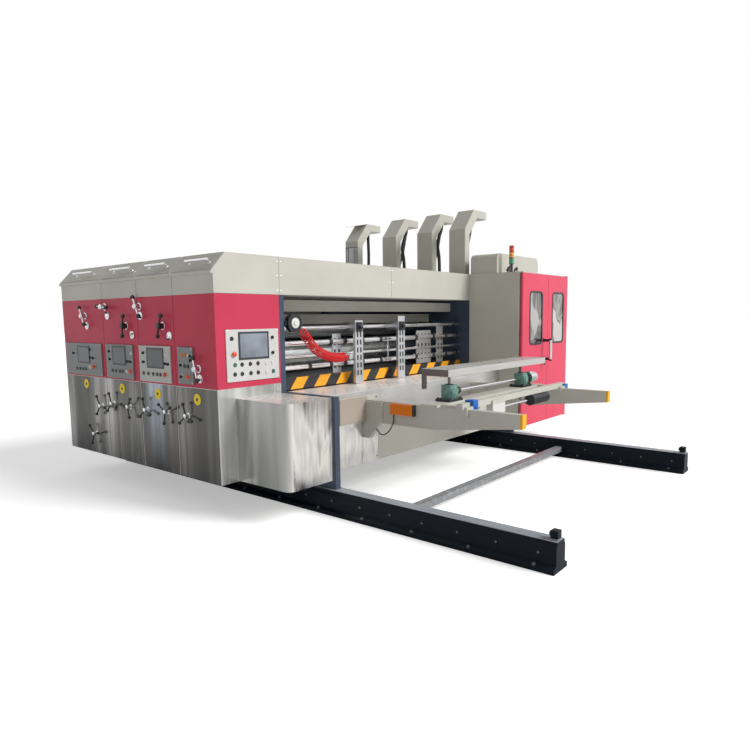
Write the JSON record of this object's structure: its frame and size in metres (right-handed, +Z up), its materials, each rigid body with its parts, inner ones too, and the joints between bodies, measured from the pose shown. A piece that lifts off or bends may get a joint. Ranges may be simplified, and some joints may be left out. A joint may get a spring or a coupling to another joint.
{
  "type": "flexo printer slotter die cutter",
  "caption": "Corrugated board printer slotter die cutter: rail-mounted feeder, printing units and rear die-cutting unit, switch cabinet, feed table and motor-driven back stop.",
  "frame": {"origin": "middle of the overall plan, at floor level", "axes": "+Z up, -Y towards the feed end where the rails run out, -X the operator side, +X the drive side with the cabinet"},
  "size_m": [5.0684, 5.15, 2.92],
  "materials": {
    "panel_beige": "semi-gloss warm grey paint",
    "signal_red": "gloss crimson paint",
    "brushed_steel": "brushed stainless sheet",
    "frame_navy": "satin slate-navy paint",
    "rail_black": "satin blue-black paint",
    "chrome": "hard chrome",
    "aluminium": "mill finish, perforated",
    "gearbox_green": "green machine enamel",
    "hose_red": "glossy polyurethane",
    "hose_black": "corrugated conduit",
    "lamp_red": "coloured lenses",
    "knob_black": "moulded plastic",
    "cross_steel": "dull rolled steel",
    "hazard_yellow": "yellow and black diagonal stripes"
  },
  "bodies": {
    "die_cutter": {"operator_rail": "rail_black", "drive_rail": "rail_black", "rail_crossbar": "cross_steel", "die_cutter_frame": "frame_navy", "die_cutter_operator_housing": "signal_red", "die_cutter_lower_cover": "brushed_steel", "die_cutter_hood": "panel_beige", "die_cutter_drive_housing": "panel_beige", "die_cutter_duct": "panel_beige", "die_cutter_duct_hose_1": "hose_black", "die_cutter_cylinder": "chrome"},
    "printer_2": {"printer_2_frame": "frame_navy", "printer_2_operator_housing": "signal_red", "printer_2_lower_cover": "brushed_steel", "printer_2_hood": "panel_beige", "printer_2_drive_housing": "panel_beige", "printer_2_duct": "panel_beige", "printer_2_duct_hose_1": "hose_black", "printer_2_duct_hose_2": "hose_black", "printer_2_cylinder": "chrome"},
    "printer_1": {"printer_1_frame": "frame_navy", "printer_1_operator_housing": "signal_red", "printer_1_lower_cover": "brushed_steel", "printer_1_hood": "panel_beige", "printer_1_drive_housing": "panel_beige", "printer_1_duct": "panel_beige", "printer_1_duct_hose_1": "hose_black", "printer_1_duct_hose_2": "hose_black", "printer_1_cylinder": "chrome"},
    "feeder": {"feeder_frame": "frame_navy", "feeder_operator_housing": "signal_red", "feeder_lower_cover": "brushed_steel", "feeder_hood": "panel_beige", "feeder_duct": "panel_beige", "feeder_duct_hose_1": "hose_black", "feeder_guard": "brushed_steel", "feed_table": "panel_beige", "hazard_guard": "hazard_yellow", "mouth_shafts": "chrome", "operator_beam": "panel_beige", "drive_beam": "panel_beige", "cabinet": "panel_beige", "stack_light": "lamp_red", "hose_reel": "knob_black", "air_hose": "hose_red", "sensor_cable": "hose_black"},
    "left_guide": {"left_guide": "aluminium"},
    "right_guide": {"right_guide": "aluminium"},
    "carriage": {"backstop_carriage": "panel_beige", "lift_drive": "gearbox_green"},
    "lifting_bar": {"lifting_bar": "brushed_steel"},
    "left_door": {"left_door": "signal_red"},
    "right_door": {"right_door": "signal_red"},
    "hand_lever_1": {"hand_lever_1": "chrome"},
    "hand_lever_2": {"hand_lever_2": "chrome"},
    "hand_lever_3": {"hand_lever_3": "chrome"},
    "hand_lever_4": {"hand_lever_4": "chrome"},
    "hand_lever_5": {"hand_lever_5": "chrome"},
    "hand_lever_6": {"hand_lever_6": "chrome"}
  },
  "joints": [
    {"name": "printer_2_travel", "type": "slide", "parent": "die_cutter", "child": "printer_2", "axis": [0, -1, 0], "range_m": [0, 0.6]},
    {"name": "printer_1_travel", "type": "slide", "parent": "printer_2", "child": "printer_1", "axis": [0, -1, 0], "range_m": [0, 0.6]},
    {"name": "feeder_travel", "type": "slide", "parent": "printer_1", "child": "feeder", "axis": [0, -1, 0], "range_m": [0, 0.6]},
    {"name": "left_guide_slide", "type": "slide", "parent": "feeder", "child": "left_guide", "axis": [1, 0, 0], "range_m": [0, 0.25]},
    {"name": "right_guide_slide", "type": "slide", "parent": "feeder", "child": "right_guide", "axis": [1, 0, 0], "range_m": [-0.25, 0.8]},
    {"name": "carriage_slide", "type": "slide", "parent": "feeder", "child": "carriage", "axis": [0, 1, 0], "range_m": [-0.38, 0.33]},
    {"name": "bar_lift", "type": "slide", "parent": "carriage", "child": "lifting_bar", "axis": [0, 0, 1], "range_m": [-0.06, 0.2]},
    {"name": "left_door_hinge", "type": "hinge", "parent": "feeder", "child": "left_door", "pos_m": [1.25365, -0.7315, 0.26], "axis": [0, 0, -1], "range_deg": [0, 110]},
    {"name": "right_door_hinge", "type": "hinge", "parent": "feeder", "child": "right_door", "pos_m": [2.50465, -0.7315, 0.26], "axis": [0, 0, 1], "range_deg": [0, 110]},
    {"name": "hand_lever_1_turn", "type": "hinge", "parent": "die_cutter", "child": "hand_lever_1", "pos_m": [-2.47615, 2.083, 1.629], "axis": [-1, 0, 0], "range_deg": [-90, 90]},
    {"name": "hand_lever_2_turn", "type": "hinge", "parent": "printer_2", "child": "hand_lever_2", "pos_m": [-2.47615, 1.679, 1.709], "axis": [-1, 0, 0], "range_deg": [-90, 90]},
    {"name": "hand_lever_3_turn", "type": "hinge", "parent": "printer_2", "child": "hand_lever_3", "pos_m": [-2.47615, 1.303, 1.532], "axis": [-1, 0, 0], "range_deg": [-90, 90]},
    {"name": "hand_lever_4_turn", "type": "hinge", "parent": "printer_1", "child": "hand_lever_4", "pos_m": [-2.47615, 1.059, 1.702], "axis": [-1, 0, 0], "range_deg": [-90, 90]},
    {"name": "hand_lever_5_turn", "type": "hinge", "parent": "printer_1", "child": "hand_lever_5", "pos_m": [-2.47615, 0.698, 1.532], "axis": [-1, 0, 0], "range_deg": [-90, 90]},
    {"name": "hand_lever_6_turn", "type": "hinge", "parent": "feeder", "child": "hand_lever_6", "pos_m": [-2.47615, 0.203, 1.19], "axis": [-1, 0, 0], "range_deg": [-90, 90]}
  ]
}
